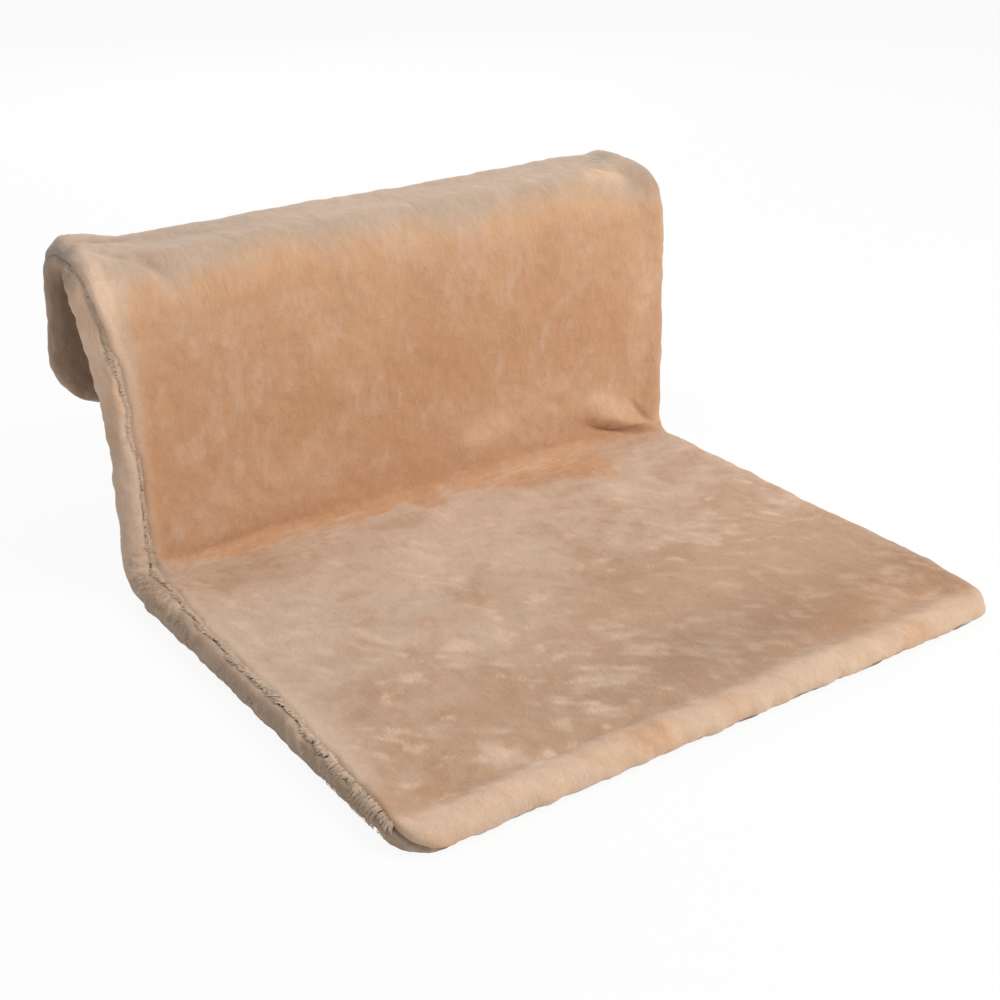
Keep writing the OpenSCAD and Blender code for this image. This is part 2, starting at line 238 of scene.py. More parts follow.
def bridge_line():
    """How far the straight line across the inner corner lies from the profile, at each s, and which way."""
    s = np.linspace(BRIDGE_FROM, BRIDGE_TO, 200)
    inner = wrap(0 * s, s, 0 * s - ROLL)[:, 1:]
    chord = inner[-1] - inner[0]
    chord /= np.linalg.norm(chord)
    away = np.array([chord[1], -chord[0]])
    gap = (inner[0] - inner) @ away
    window = np.hanning(2 * BRIDGE_SMOOTH + 1)
    smooth = np.convolve(np.pad(gap, BRIDGE_SMOOTH), window / window.sum(), "same")
    return s, smooth[BRIDGE_SMOOTH:-BRIDGE_SMOOTH], away


BRIDGE_S, BRIDGE_GAP, BRIDGE_WAY = bridge_line()


def bridge(x, s):
    """How far the inner layer is pulled into the hooks' inner corner."""
    share = BRIDGE_SHARE + BRIDGE_LEFT * hill(x, -AXIS_X - 0.01, 0.055) + BRIDGE_RIGHT * hill(x, AXIS_X, 0.05)
    return np.interp(s, BRIDGE_S, BRIDGE_GAP, left=0, right=0) * share


# ---- Section across the rim: u runs along the outer surface from the top of the tube, inward over the sleeping
# side and, below zero, round the roll to the other side

ROLL_FADE = 0.0115                    # how far inward a roll goes over into the flat cover
FRONT_WEB, BACK_WEB = 0.0064, 0.0058   # thickness of the two layers between the rolls
HALF_TURN = math.pi * ROLL


def mm(*places):
    """Places given in millimetres."""
    return np.array(places) / 1000


# The left seam's u at each s
SIDE_SEAM = mm((0, -9), (24, -6), (51, -5), (83, -2.5), (109, -1.5), (138, 2), (163, 1.5), (188, 0.5), (216, 1.5),
               (244, 1), (273, 4.5), (300, 8.5), (330, 8.5), (357, 8.5), (374, 7.3), (392, 6.3), (426, 6), (444, 3),
               (460, 3), (476, 0.5), (497, -3), (509, -6.5), (520, -10.5), (535, -13.5), (552, -14.5), (572, -13.5),
               (600, -13.5), (719, -13.5))
RIGHT_SEAM, FRONT_SEAM, FLAP_SEAM = -0.0165, -0.0215, -0.0137
SEAM_WAVE, SEAM_DIP = 0.0010, 0.0040   # the right seam dips below the heads of the cross tube's screws
# How far the left and the right edge roll are drawn in at each s
LEFT_IN = mm((0, 0), (532, 0), (560, 1.2), (585, 2.6), (655, 2.8), (685, 0), (708, -2.4), (719, -1.5))
RIGHT_IN = mm((0, 2.0), (30, 1.0), (60, -1.6), (110, -1.8), (150, 0), (270, 0), (289, 0.8), (299, 0), (316, 0),
              (328, 0.8), (345, 0.4), (500, 0), (530, 1.8), (600, 1.8), (650, 0))
FRONT_IN, SCREW_RISE = 0.0016, 0.0008
GROOVE, GROOVE_W, HOOK_GROOVE = 0.0019, 0.0021, 0.0009   # the seam's groove: depth, width, more depth at the hook
BEAD, BEAD_AT, BEAD_W = 0.0011, 0.0052, 0.0036            # the plush stands up along both sides of the groove
BEND_RAGGED, PULL_RAGGED = 0.00050, 0.0007                # unevenness of the roll, and more where it is pulled

SCREW_HEAD = hill(RIM[:, 1], S_BAR, 0.008)
HOOK_END = hill(RIM[:, 1], 0.556, 0.024) * (RIM[:, 0] < 0)


def seam_u():
    """Where the seam runs along the rim."""
    share = OUT[:, 1] ** 2
    end = np.where(OUT[:, 1] < 0, FRONT_SEAM, FLAP_SEAM)
    wave = layered(np.stack([RIM_RUN, 0 * RIM_RUN, 0 * RIM_RUN], -1), 0.016, 5)
    right = RIGHT_SEAM - SEAM_DIP * SCREW_HEAD
    side = np.where(RIM[:, 0] < 0, np.interp(RIM[:, 1], *SIDE_SEAM.T), right)
    return side * (1 - share) + end * share + SEAM_WAVE * wave


def outward():
    """How far the roll stands out past its even place along the rim."""
    left, right, front = (step(v, 0.4, 1) for v in (-OUT[:, 0], OUT[:, 0], -OUT[:, 1]))
    drawn_in = FRONT_IN * step(RIM[:, 0], -0.02, 0.18) * front
    drawn_in += np.interp(RIM[:, 1], *LEFT_IN.T) * left + np.interp(RIM[:, 1], *RIGHT_IN.T) * right
    return SCREW_RISE * SCREW_HEAD - drawn_in


SEAM, OUTWARD = seam_u(), outward()
GROOVE_DEPTH = (GROOVE * (1 - 0.65 * hill(RIM[:, 1], (S_CREASE + S_ARCH) / 2, 0.06)) * (1 - 0.5 * SCREW_HEAD)
                + HOOK_GROOVE * HOOK_END)


def web_height(d, web):
    """Height of a layer's outer face over the middle surface, at a distance inward from the tube's axis."""
    return web + (ROLL - web) * np.exp(-(np.maximum(d, 0) / ROLL_FADE) ** 2)


def section(u, pull, r=ROLL, flat=None):
    """Distance inward, h, outward normal (inward, h) and the share of the pull, at u along a section.

    Past the roll the section follows the cover's two sides, or lies flat at that h."""
    side_u = -math.pi / 2 * r
    at_side = np.minimum(u, side_u) + pull
    turn = np.where(u > side_u, -u / r, np.where(at_side > side_u, math.pi / 2, -at_side / r))
    share = np.clip((side_u - u) / np.maximum(pull, 1e-9), 0, 1) * (pull > 0) + (pull <= 0) * (u < side_u)
    if flat is None:
        top, low = u > 0, -(u + pull) > math.pi * r
        d_top, d_low = u, -(u + pull) - math.pi * r
        h_top, h_low = web_height(d_top, FRONT_WEB), -web_height(d_low, BACK_WEB)
    else:
        quarter = math.pi / 2 * r
        top, low = u > quarter - flat, -(u + pull) > 3 * quarter - flat
        d_top, d_low = r + u - quarter, r - (u + pull) - 3 * quarter
        h_top, h_low = flat, -flat

    def pick(on_top, below, on_roll):
        return np.where(top, on_top, np.where(low, below, on_roll))
    return (pick(d_top, d_low, -r * np.sin(turn)), pick(h_top, h_low, r * np.cos(turn)),
            pick(0, 0, -np.sin(turn)), pick(1, -1, np.cos(turn)), share)


# Ridges and valleys of the sleeping side: place (x, s), length, width, angle in degrees, height
FOLDS = [
    ((0.184, 0.3485), 0.036, 0.0022, -22, -0.0036), ((0.187, 0.3580), 0.030, 0.0062, -22, 0.0052),
    ((0.176, 0.371), 0.026, 0.0090, -12, 0.0030), ((0.206, 0.361), 0.016, 0.0022, -50, -0.0030),
    ((0.085, 0.390), 0.045, 0.0090, -4, -0.0016), ((0.054, 0.373), 0.024, 0.0090, 8, 0.0018),
    ((0.135, 0.374), 0.030, 0.0060, -20, 0.0012), ((0.150, 0.344), 0.060, 0.0100, -8, -0.0014),
    ((-0.209, 0.336), 0.012, 0.0032, -75, -0.0030), ((-0.190, 0.352), 0.030, 0.0120, 10, 0.0016),
    ((-0.150, 0.346), 0.040, 0.0050, 6, -0.0014), ((-0.060, 0.338), 0.060, 0.0060, -3, -0.0010),
    ((-0.055, 0.023), 0.020, 0.0028, 22, -0.0020), ((-0.030, 0.020), 0.012, 0.0022, -16, -0.0016),
    ((-0.112, 0.017), 0.026, 0.0034, 14, -0.0014), ((-0.180, 0.026), 0.016, 0.0040, 18, -0.0016),
    ((0.110, 0.020), 0.022, 0.0032, 16, -0.0012), ((0.190, 0.024), 0.018, 0.0040, -18, -0.0014),
    ((-0.214, 0.602), 0.026, 0.0080, 5, 0.0034), ((-0.214, 0.588), 0.030, 0.0030, 4, -0.0042),
    ((-0.216, 0.577), 0.028, 0.0070, -3, 0.0030), ((-0.196, 0.553), 0.022, 0.0045, -40, -0.0022),
    ((-0.150, 0.580), 0.050, 0.0240, 0, -0.0026), ((-0.182, 0.540), 0.020, 0.0040, -62, -0.0016),
    ((0.175, 0.590), 0.030, 0.0160, 0, 0.0022), ((0.205, 0.581), 0.011, 0.0042, 24, -0.0026),
    ((0.209, 0.590), 0.008, 0.0030, -30, -0.0018), ((0.196, 0.575), 0.007, 0.0030, -50, 0.0016),
    ((0.190, 0.585), 0.008, 0.0030, 40, -0.0014),
    ((0.196, 0.556), 0.012, 0.0040, -35, -0.0020), ((0.180, 0.545), 0.012, 0.0040, 25, 0.0018),
    ((0.120, 0.560), 0.024, 0.0050, 20, -0.0012), ((0.224, 0.540), 0.026, 0.0180, 0, -0.0036),
]
FRONT_WAVES, BACK_WAVES, RIPPLES = 0.0009, 0.0008, 0.0004
SAG, TROUGH, TROUGH_WAVES, TROUGH_S, TROUGH_W = 0.0014, 0.0024, 0.0012, 0.0215, 0.0075
END_SEAM, END_SEAM_W = 0.0013, 0.0018


def relief(x, s):
    """How far the sleeping side stands off its even height: waves, a sag, a trough behind the front roll, folds."""
    p = np.stack([x, s, 0 * x], -1)
    h = FRONT_WAVES * layered(p, 0.070, 11, 2) + RIPPLES * layered(p, 0.022, 13, 2)
    h -= SAG * hill(s, 0.17, 0.11) * hill(x, 0, 0.17)
    trough = hill(s, TROUGH_S + 0.003 * layered(p, 0.06, 17, 1), TROUGH_W)
    h -= (TROUGH + TROUGH_WAVES * layered(p, 0.045, 19, 1)) * trough * step(AXIS_X - np.abs(x), -0.002, 0.03)
    return h + sum(fold(x, s, *f) for f in FOLDS)


def lining_relief(x, s):
    """The same for the other side, with a seam from each end of the zip to the rim."""
    p = np.stack([x, s, 0 * x + 9], -1)
    h = BACK_WAVES * layered(p, 0.060, 23, 2) + RIPPLES * layered(p, 0.022, 27, 2)
    past_zip = step(np.abs(x), ZIP_END - 0.002, ZIP_END + 0.003) * step(AXIS_X - np.abs(x), -0.004, 0.004)
    return h - END_SEAM * hill(s, S_ZIP, END_SEAM_W) * past_zip


def place(at, h, share):
    """Points of the bed from a layout point, its h and its share of the pull."""
    x, s = at[..., 0], at[..., 1]
    pulled = (bridge(x, s) * share)[..., None]
    return wrap(x, s, h) + pulled * np.array([0, BRIDGE_WAY[0], BRIDGE_WAY[1]])


# ---- The cover's layers: side 1 is the sleeping side, -1 the other one. A layer's outer sheet ends in a roll round the
# tube, down to the seam, and its inner sheet in a wall round the tube's room

EVEN = slice(None, None, 2)
RAGGED_SEED, RAGGED_SIZE = 81, 0.011
SEAM_SHADE, HOOK_SHADE = 0.55, 0.85        # how much the pile is pressed down in the groove, with its colour darkened there as painted shade, and more at the hook
SHEET_EDGE, WALL_EDGE = 0.003, 0.002       # the sheets end this far past the tube's axis and the tube's room,
FRONT_REACH, WALL_REACH = 0.014, 0.004     # and on the sleeping side at least this far past the seam
RINGS, WALLS, RING_CROWD = {1: 10, -1: 20}, {1: 4, -1: 6}, 1.35


def sheet_points(at, h, side, nap_and_shade):
    """A sheet's points, their layout and share of the pile's clumps, which also sets how much painted shade darkens its
    colour.
    """
    share = np.full_like(h, side < 0)
    return place(at, h, share).reshape(-1, 3), at.reshape(-1, 2), np.full(h.size, nap_and_shade)


def roll_ring(u, pull, side):
    """The same for one ring round the roll, at u."""
    d, h, nd, nh, share = section(u, pull)
    near = hill(u, SEAM, GROOVE_W * (1 - 0.28 * HOOK_END))
    lift = BEAD * hill(u, SEAM + side * BEAD_AT, BEAD_W) - GROOVE_DEPTH * near
    top, low = step(u, -0.010, 0.004), step(-u - pull, HALF_TURN - 0.012, HALF_TURN + 0.002)
    at = RIM - OUT * d[:, None]
    lift += (top * relief(*at.T) + low * lining_relief(*at.T)) * (1 - near)
    ragged = layered(np.stack([RIM_RUN, u * 1.4, 0 * u + 3 * side], -1), RAGGED_SIZE, RAGGED_SEED, 2)
    lift += ((BEND_RAGGED + PULL_RAGGED * (share > 0)) * ragged + OUTWARD) * np.maximum(-nd, 0) * (1 - 0.7 * near)
    at = RIM - OUT * (d + nd * lift)[:, None]
    run = RIM - OUT * (u if side > 0 else -HALF_TURN - pull - u)[:, None]
    return place(at, h + nh * lift, share * (side < 0)), run, 1 - (SEAM_SHADE + HOOK_SHADE * HOOK_END) * near


def wall_ring(v, pull, side):
    """The same for one ring round the tube's room, which has half as many points."""
    d, h, _, _, share = section(v, pull, TUBE_ROOM, flat=LAYER_GAP)
    at = RIM[EVEN] - OUT[EVEN] * d[:, None]
    return place(at, h, share * (side < 0)), at, np.zeros(len(at))


def grid_faces(every, side, start):
    """Faces of a sheet, whose points start at that number. The zip's slot is left open."""
    rows, cols = ROWS[::every], COLS[::every]
    i, j = (v.ravel() for v in np.meshgrid(np.arange(len(rows) - 1), np.arange(len(cols) - 1), indexing="ij"))
    if side < 0:
        mid_x, mid_s = (cols[j] + cols[j + 1]) / 2, (rows[i] + rows[i + 1]) / 2
        keep = ~((np.abs(mid_x) < ZIP_END) & (np.abs(mid_s - S_ZIP) < ZIP_HALF))
        i, j = i[keep], j[keep]
    wide = len(cols)
    quads = np.stack([i * wide + j, i * wide + j + 1, (i + 1) * wide + j + 1, (i + 1) * wide + j], -1)
    return start + (quads[:, ::-1] if every > 1 else quads)


def layer(side):
    """One layer: its points, the layout unrolled round the edge rolls, its faces and each point's share of the pile's
    clumps, which also sets its painted shade.
    """
    pull = bridge(*RIM.T) if side < 0 else np.zeros(len(RIM))
    rings, walls = RINGS[side], WALLS[side]
    if side > 0:
        u_rim = np.maximum(SEAM + FRONT_REACH, SHEET_EDGE)
        v_rim = np.maximum(SEAM + WALL_REACH, TUBE_ROOM + WALL_EDGE)
        outer = spread(np.abs(u_rim))
        end_v = (math.pi / 2 * TUBE_ROOM + v_rim - TUBE_ROOM)[EVEN]
    else:
        u_rim, v_rim = -HALF_TURN - pull - SHEET_EDGE, np.full(len(RIM), TUBE_ROOM)
        outer = spread(SHEET_EDGE)
        end_v = (-1.5 * math.pi * TUBE_ROOM - pull)[EVEN]
    inner = spread(v_rim, 2)
    h = side * web_height(from_rim(*np.moveaxis(outer, -1, 0)), FRONT_WEB if side > 0 else BACK_WEB)
    h += side * (relief if side > 0 else lining_relief)(*np.moveaxis(outer, -1, 0))
    made = [sheet_points(outer, h, side, 1)]
    for k in range(1, rings + 1):
        made.append(roll_ring(u_rim + (SEAM - u_rim) * (1 - (1 - k / rings) ** RING_CROWD), pull, side))
    seam_v = np.where(SEAM > TUBE_ROOM, math.pi / 2 * TUBE_ROOM + SEAM - TUBE_ROOM,
                      np.where(SEAM > 0, TUBE_ROOM * np.arcsin(np.clip(SEAM / TUBE_ROOM, 0, 1)),
                               SEAM * TUBE_ROOM / ROLL))[EVEN]
    for k in range(walls):
        made.append(wall_ring(seam_v + (end_v - seam_v) * k / walls, pull[EVEN], side))
    h = side * np.maximum(LAYER_GAP, np.sqrt(np.maximum(BAR_ROOM ** 2 - (inner[..., 1] - S_BAR) ** 2, 0)))
    made.append(sheet_points(inner, h, side, 0))
    points, runs, naps_and_shades = (np.concatenate(v) for v in zip(*made))
    starts = np.cumsum([0] + [len(m[0]) for m in made])

    def at_grid(ij, every, start):
        return start + ij[:, 0] // every * len(COLS[::every]) + ij[:, 1] // every
    fine = [at_grid(BORDER, 1, 0)] + [starts[1 + k] + np.arange(len(BORDER)) for k in range(rings)]
    coarse = [starts[1 + rings + k] + np.arange(len(BORDER) // 2) for k in range(walls)]
    coarse.append(at_grid(BORDER[EVEN], 2, starts[-2]))
    faces = [np.stack([a, b, np.roll(b, -1), np.roll(a, -1)], -1) for loops in (fine, coarse)
             for a, b in zip(loops, loops[1:])]
    faces += narrow(fine[-1], coarse[0])
    faces += [grid_faces(1, side, 0), grid_faces(2, side, starts[-2])]
    if side < 0:
        i0, i1 = (int(np.argmin(np.abs(ROWS - v))) for v in (S_ZIP - ZIP_HALF, S_ZIP + ZIP_HALF))
        j0, j1 = (int(np.argmin(np.abs(COLS - v))) for v in (-ZIP_END, ZIP_END))
        slot = np.array([(i0, j) for j in range(j0, j1)] + [(i, j1) for i in range(i0, i1)]
                        + [(i1, j) for j in range(j1, j0, -1)] + [(i, j0) for i in range(i1, i0, -1)])
        faces += narrow(at_grid(slot, 1, 0), at_grid(slot[EVEN], 2, starts[-2]))
    return points, runs, faces, naps_and_shades


def narrow(fine, coarse):
    """Faces between a loop of points and one with half as many."""
    a, b, c = fine[::2], fine[1::2], np.roll(fine[::2], -1)
    return [np.stack([a, coarse, b], -1), np.stack([b, coarse, np.roll(coarse, -1), c], -1)]


def make_mesh(name, points, faces):
    """An object made of points and arrays of faces, with its faces turned outward."""
    mesh = bpy.data.meshes.new(name)
    mesh.from_pydata(points.tolist(), [], [f for part in faces for f in part.tolist()])
    bm = bmesh.new()
    bm.from_mesh(mesh)
    bmesh.ops.recalc_face_normals(bm, faces=bm.faces)
    bm.to_mesh(mesh)
    bm.free()
    obj = bpy.data.objects.new(name, mesh)
    bpy.context.scene.collection.objects.link(obj)
    return obj


def normals_of(mesh):
    """The normal at each of a mesh's points."""
    flat = np.empty(len(mesh.vertices) * 3)
    mesh.vertex_normals.foreach_get("vector", flat)
    return flat.reshape(-1, 3)


# ---- The pile's colour

def srgb(r, g, b):
    """A colour as it is written for screens, made linear."""
    c = np.array([r, g, b]) / 255
    return np.where(c <= 0.04045, c / 12.92, ((c + 0.055) / 1.055) ** 2.4)


ORANGE, PEACH, PALE = srgb(201, 153, 116), srgb(209, 165, 128), srgb(206, 180, 158)
TAN, LIGHT, GREY, BAND = srgb(188, 153, 125), srgb(216, 185, 159), srgb(190, 164, 143), srgb(186, 161, 139)
# A grey for the hooks' ends: painted shade on the left one, greyer pile on the right one
SHADE_AND_PILE_GREY = srgb(168, 154, 141)


def mix(a, b, t):
    """Colours from a, where t is 0, to b, where it is 1."""
    return a * (1 - t[:, None]) + b * t[:, None]


def patch(x, s, share, at_x, wide, at_s, long, slope=0):
    """A soft oval place on the layout, which may slope."""
    return share * hill(x, at_x, wide) * hill(s + slope * (x - at_x), at_s, long)


# The line where the darker pile of the backrest ends: s at each x
CREASE_LINE = mm((-210, 349), (-180, 334), (-110, 324), (-20, 333), (20, 332), (73, 315), (102, 304), (132, 293),
                 (150, 312), (166, 328), (185, 336), (204, 336))
# Patches of paler pile on the backrest, as in patch()
PALE_PATCHES = [
    (0.95, 0.182, 0.025, 0.3678, 0.012, 0.4), (0.45, 0.054, 0.024, 0.373, 0.009), (1.0, 0.176, 0.014, 0.551, 0.007),
    (1.0, 0.196, 0.010, 0.549, 0.009), (0.5, 0.10, 0.07, 0.392, 0.022), (0.15, -0.17, 0.05, 0.50, 0.045),
    (0.35, -0.13, 0.05, 0.385, 0.02),
]


def sleeping_side(x, s, p, drift, ragged):
    """Its colour before it is brushed: the front roll, the seat, the backrest and the tops of the hooks."""
    colour = mix(LIGHT, TAN, step(s + 0.004 * drift, 0.004, 0.018))
    colour = mix(colour, ORANGE, patch(x, s, 0.9, 0.17, 0.09, 0.045, 0.035))
    roll = 1 - step(s, 0.004, 0.014)
    colour = mix(colour, PEACH, 0.75 * roll * step(layered(p, 0.030, 91, 2), -0.2, 0.9))
    colour = mix(colour, LIGHT * 1.10, 0.6 * roll * step(layered(p, 0.010, 95, 2), 0.1, 1.0))
    colour = mix(colour, PALE, step(s + 0.05 * drift + 0.016 * ragged - 0.20 * x, 0.10, 0.25) * 0.88)
    colour = mix(colour, TAN, patch(x, s, 0.55, -0.15, 0.07, 0.300, 0.026))
    colour *= 1 - 0.30 * (hill(s, 0.052, 0.042) * step(x, -0.18, 0.08))[:, None]
    foot = np.interp(x, *CREASE_LINE.T) + 0.010 * drift + 0.008 * ragged
    tone = mix(ORANGE, PEACH, 0.5 * step(x, 0.02, 0.12) * (1 - step(s, 0.345, 0.400)))
    soft = 1 + 2.2 * hill(x, 0.165, 0.040)
    colour = mix(colour, tone, step((s - foot + 0.006 * layered(p, 0.009, 99, 2)) / soft, -0.010, 0.008))
    colour = mix(colour, PEACH, step(s + 0.04 * drift, S_ARCH - 0.075, S_ARCH - 0.01) * 0.8)
    return mix(colour, GREY, step(s + 0.008 * drift + 0.005 * ragged, S_ARCH + 0.002, S_ARCH + 0.032))


def other_side(x, s, up):
    """The other side's colour before it is brushed: paler at the left end of the hooks, partly paler pile and partly
    painted light, with painted shade on the flap and under the left hook's top, and darker towards the seat's front
    end.
    """
    pale_and_lit_left_end = step(-x, AXIS_X - 0.016, AXIS_X + 0.006) * (1 - step(s, S_TOP - 0.022, S_TOP + 0.004))
    colour = mix(BAND, PALE * 1.10, up * pale_and_lit_left_end)
    # Painted light: the hooks' left end is lightened further, where it faces away from the key light
    colour *= 1 + (pale_and_lit_left_end * step(s, 0.43, 0.50))[:, None] * np.array([0.32, 0.23, 0.17])
    under_hooks = step(-x, AXIS_X - 0.030, AXIS_X) * hill(s, S_TOP + 0.008, 0.018)
    # Painted shade on the flap's inner side and in the hollow under the left hook's top; the seat's front end is darker
    # too
    for share, where in ((0.24, step(s, S_DROP - 0.01, S_LEG + 0.02)), (0.17, 1 - step(s, 0.08, 0.20)),
                         (0.22, under_hooks)):
        colour *= 1 - share * where[:, None]
    return colour


def brushed(colour, x, s, p, up, side):
    """The colour with brushed strokes, across the seat and up the backrest, and with patches."""
    bent = 0.009 * np.column_stack([noise(p / 0.04, 51), noise(p / 0.04, 52)])
    q = np.column_stack([x, s]) + bent
    turn = np.radians(-42 + 120 * up)
    along, across = (q[:, 0] * np.cos(turn) + q[:, 1] * np.sin(turn),
                     q[:, 1] * np.cos(turn) - q[:, 0] * np.sin(turn))
    strokes = layered(np.column_stack([along / 2.5, across, p[:, 2]]), 0.0058, 61, 3)
    patches = 0.62 * layered(p, 0.044, 41, 2) + 0.5 * layered(p, 0.014, 44, 3)
    calm = 1 - (side > 0) * np.maximum(0.62 * up, 0.65 * step(x, -0.14, 0.06) * (1 - step(s, 0.09, 0.19)))
    strong = 0.72 + 0.28 * (1 - up) * step(s, 0.12, 0.20)
    colour = mix(colour, PALE * 1.04, 0.70 * calm * step(patches + 0.7 * strokes, -0.05, 1.15))
    colour = mix(colour, colour * np.array([0.86, 0.79, 0.72]),
                 strong * calm * step(0.6 * strokes - patches, -0.05, 1.05))
    colour = mix(colour, LIGHT * 1.10, 0.55 * calm * (1 - 0.4 * up) * step(strokes + 0.3 * patches, 0.40, 1.05))
    return mix(colour, colour * 0.84, 0.55 * calm * step(-strokes, 0.4, 1.1))


def marked(colour, x, s, drift, ragged):
    """The sleeping side's colour with its paler and greyer places, painted light on the left hook's ledge, and painted
    shade on the left hook's end and in the folds' valleys.
    """
    left_roll = step(-from_rim(x, s) + 0.004 * drift, -0.021, -0.008) * step(s, 0.03, 0.06)
    colour = mix(colour, PALE, 0.65 * left_roll * (x < 0) * (s < S_ARCH + 0.02))
    # Painted light on the left hook's ledge by the seam, which faces away from the key light; the top band's left part
    # is a little lighter too
    lit_ledge = step(-x, AXIS_X - 0.008, AXIS_X + 0.006) * step(s, 0.40, 0.50) * (1 - step(s, 0.545, 0.575))
    top_left = step(-x, 0.06, 0.15) * step(s, S_ARCH - 0.01, S_ARCH + 0.02)
    colour *= ((1 + 0.34 * lit_ledge) * (1 + 0.06 * top_left))[:, None]
    pale = patch(x, s, 0.85, 0.207 + 0.004 * drift, 0.010, 0.455, 0.042) + sum(patch(x, s, *v) for v in PALE_PATCHES)
    colour = mix(colour, (PEACH + LIGHT) * 0.54, np.clip(pale * (1 + 0.8 * ragged), 0, 0.9))
    # Greyer at the hooks' ends: painted shade on the left hook's outer end, which faces away from the light, and greyer
    # pile on the right hook's top
    ends = (0.30 * step(-x, 0.196, 0.222) * hill(s, 0.590, 0.022) + 0.6 * step(-x, 0.218, 0.232) * hill(s, 0.600, 0.040)
            + patch(x, s, 1.2, 0.203, 0.012, 0.582, 0.010) * (1 + 0.8 * ragged))
    colour = mix(colour, SHADE_AND_PILE_GREY, np.clip(ends, 0, 1))
    # Painted shade in the folds' deeper valleys
    valleys = sum(np.minimum(fold(x, s, *f), 0) for f in FOLDS if f[-1] < -0.002)
    return colour * (1 + np.clip(50 * valleys, -0.22, 0)[:, None])


def pile_colours(run, side):
    """The pile's colour over the layout."""
    x, s = run[:, 0], run[:, 1]
    p = np.column_stack([x, s, np.full_like(x, 5 * side)])
    drift, ragged = layered(p, 0.05, 31), layered(p, 0.016, 35)
    up = step(s, S_CREASE - 0.03, S_CREASE + 0.02)
    colour = sleeping_side(x, s, p, drift, ragged) if side > 0 else other_side(x, s, up)
    colour = brushed(colour, x, s, p, up, side)
    return marked(colour, x, s, drift, ragged) if side > 0 else colour


CLUMPS, FINE_CLUMPS = 0.00055, 0.00034


def dress(name, side):
    """One layer as an object, with its pile's colour and layout stored on its points."""
    points, run, faces, nap_and_shade = layer(side)
    obj = make_mesh(name, points, faces)
    mesh = obj.data
    clumps = CLUMPS * layered(points, 0.016, 71, 3) + FINE_CLUMPS * noise(points / 0.0055, 75)
    points = points + normals_of(mesh) * (clumps * np.maximum(nap_and_shade, 0))[:, None]
    points[:, 2] = np.maximum(points[:, 2], 0)
    mesh.vertices.foreach_set("co", points.ravel())
    mesh.update()
    # Painted shade: darker colour where the pile's share is low, in the seam's groove and on the hidden inner sheets
    colour_points(mesh, pile_colours(run, side) * (0.62 + 0.38 * nap_and_shade[:, None]), run, side)
    return obj


def colour_points(mesh, rgb, run, side):
    """Stores the pile's colour and the layout on the points, and shades the faces smooth."""
    colours = mesh.color_attributes.new("pile", "FLOAT_COLOR", "POINT")
    colours.data.foreach_set("color", np.column_stack([rgb, np.ones(len(rgb))]).ravel())
    laid = mesh.attributes.new("laid", "FLOAT_VECTOR", "POINT")
    laid.data.foreach_set("vector", np.column_stack([run, np.full(len(run), side * 0.5)]).ravel())
    mesh.polygons.foreach_set("use_smooth", np.ones(len(mesh.polygons), bool))


CUT_GAP = 0.00001   # the two parts end this far from the zip's middle


def cut_at_zip(obj, name, above):
    """The part of the lining above or below the zip, closed again where it is cut."""
    piece = obj.copy()
    piece.data = obj.data.copy()
    piece.name = piece.data.name = name
    bpy.context.scene.collection.objects.link(piece)
    at, up = (wrap(np.zeros(1), np.array([v]), np.zeros(1))[0] for v in (S_ZIP, S_ZIP + 0.01))
    way = Vector(up - at).normalized()
    shift = CUT_GAP if above else -CUT_GAP
    bm = bmesh.new()
    bm.from_mesh(piece.data)
    cut = bmesh.ops.bisect_plane(bm, geom=bm.verts[:] + bm.edges[:] + bm.faces[:], plane_co=Vector(at) + way * shift,
                                 plane_no=way, clear_inner=above, clear_outer=not above)
    for edge in cut["geom_cut"]:
        if isinstance(edge, bmesh.types.BMEdge):
            edge.smooth = False
    bmesh.ops.holes_fill(bm, edges=[e for e in bm.edges if e.is_boundary], sides=0)
    bmesh.ops.triangulate(bm, faces=[f for f in bm.faces if len(f.verts) > 4])
    bm.to_mesh(piece.data)
    bm.free()
    return piece


# ---- Tufts of pile that stand out along the left seam

TUFT_SEED, TUFT_POINTS, TUFT_TIP = 8, 12, 0.00006
LEFT_SIDE = step(-OUT[:, 0], 0.8, 0.95) * (OUT[:, 1] > -0.3)
SEAT_PART = LEFT_SIDE * (RIM[:, 1] < S_CREASE + 0.02)
HOOK_PART = LEFT_SIDE * (RIM[:, 1] > S_CREASE + 0.02) * (RIM[:, 1] < S_TOP + 0.004)
# Count, part of the rim, range of u from the seam, length, half width, rise, colour, lightened with painted light
# against the shade on the roll's side
TUFT_BANDS = [
    (1500, SEAT_PART, (0.0003, 0.0030), 0.0040, 0.00055, 0.0011, PALE * 1.10),
    (700, SEAT_PART, (-0.0130, -0.0030), 0.0034, 0.00045, 0.0006, BAND * 1.24),
    (1100, HOOK_PART, (0.0004, 0.0034), 0.0040, 0.00055, 0.0010, PALE * 1.12),
]


def along_rim(run, values):
    """Values given at the rim's points, read between them."""
    return np.stack([np.interp(run, RIM_RUN, v) for v in values.T], -1)


